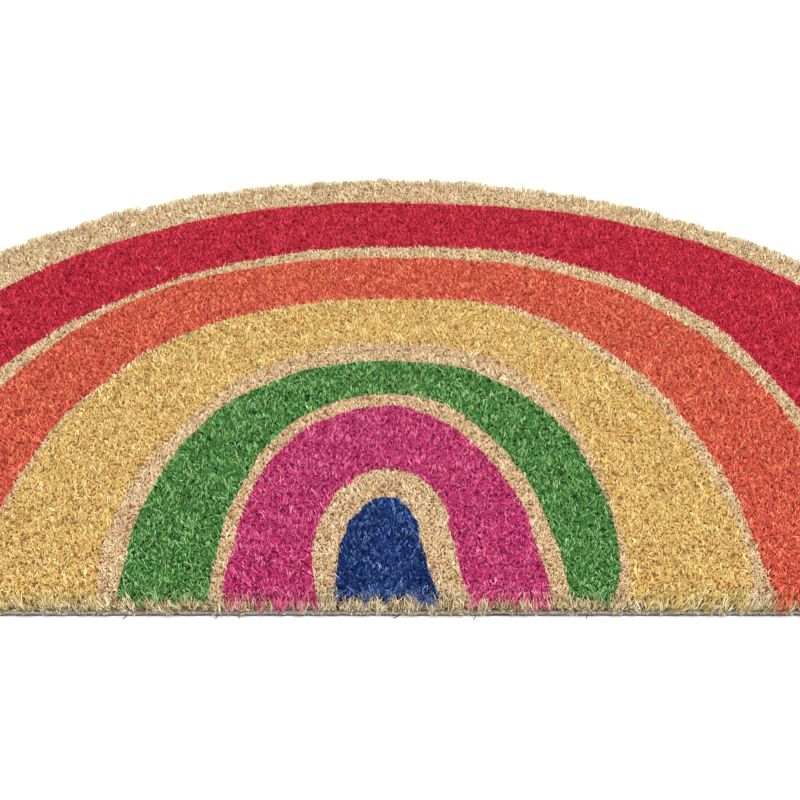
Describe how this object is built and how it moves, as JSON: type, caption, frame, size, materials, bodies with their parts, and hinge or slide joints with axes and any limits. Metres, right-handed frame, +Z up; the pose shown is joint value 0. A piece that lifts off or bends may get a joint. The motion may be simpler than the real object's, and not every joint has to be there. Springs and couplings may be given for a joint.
{
  "type": "half round coir doormat",
  "caption": "Flat half round doormat: a vinyl backing sheet with a short, dense coir pile dyed with a rainbow of arches. The straight edge lies against the door and shoes are wiped on the pile.",
  "frame": {"origin": "middle of the mat's footprint, on the surface that it lies on", "axes": "+X along the straight edge, +Y from the straight edge to the top of the round edge, +Z up out of the pile"},
  "size_m": [0.7502, 0.4502, 0.0155],
  "materials": {
    "vinyl": "matte",
    "coir_natural": "matte",
    "coir_red": "matte",
    "coir_orange": "matte",
    "coir_yellow": "matte",
    "coir_green": "matte",
    "coir_pink": "matte",
    "coir_blue": "matte"
  },
  "bodies": {
    "root": {"vinyl_backing": "vinyl", "coir_pile": "coir_natural"}
  },
  "joints": []
}
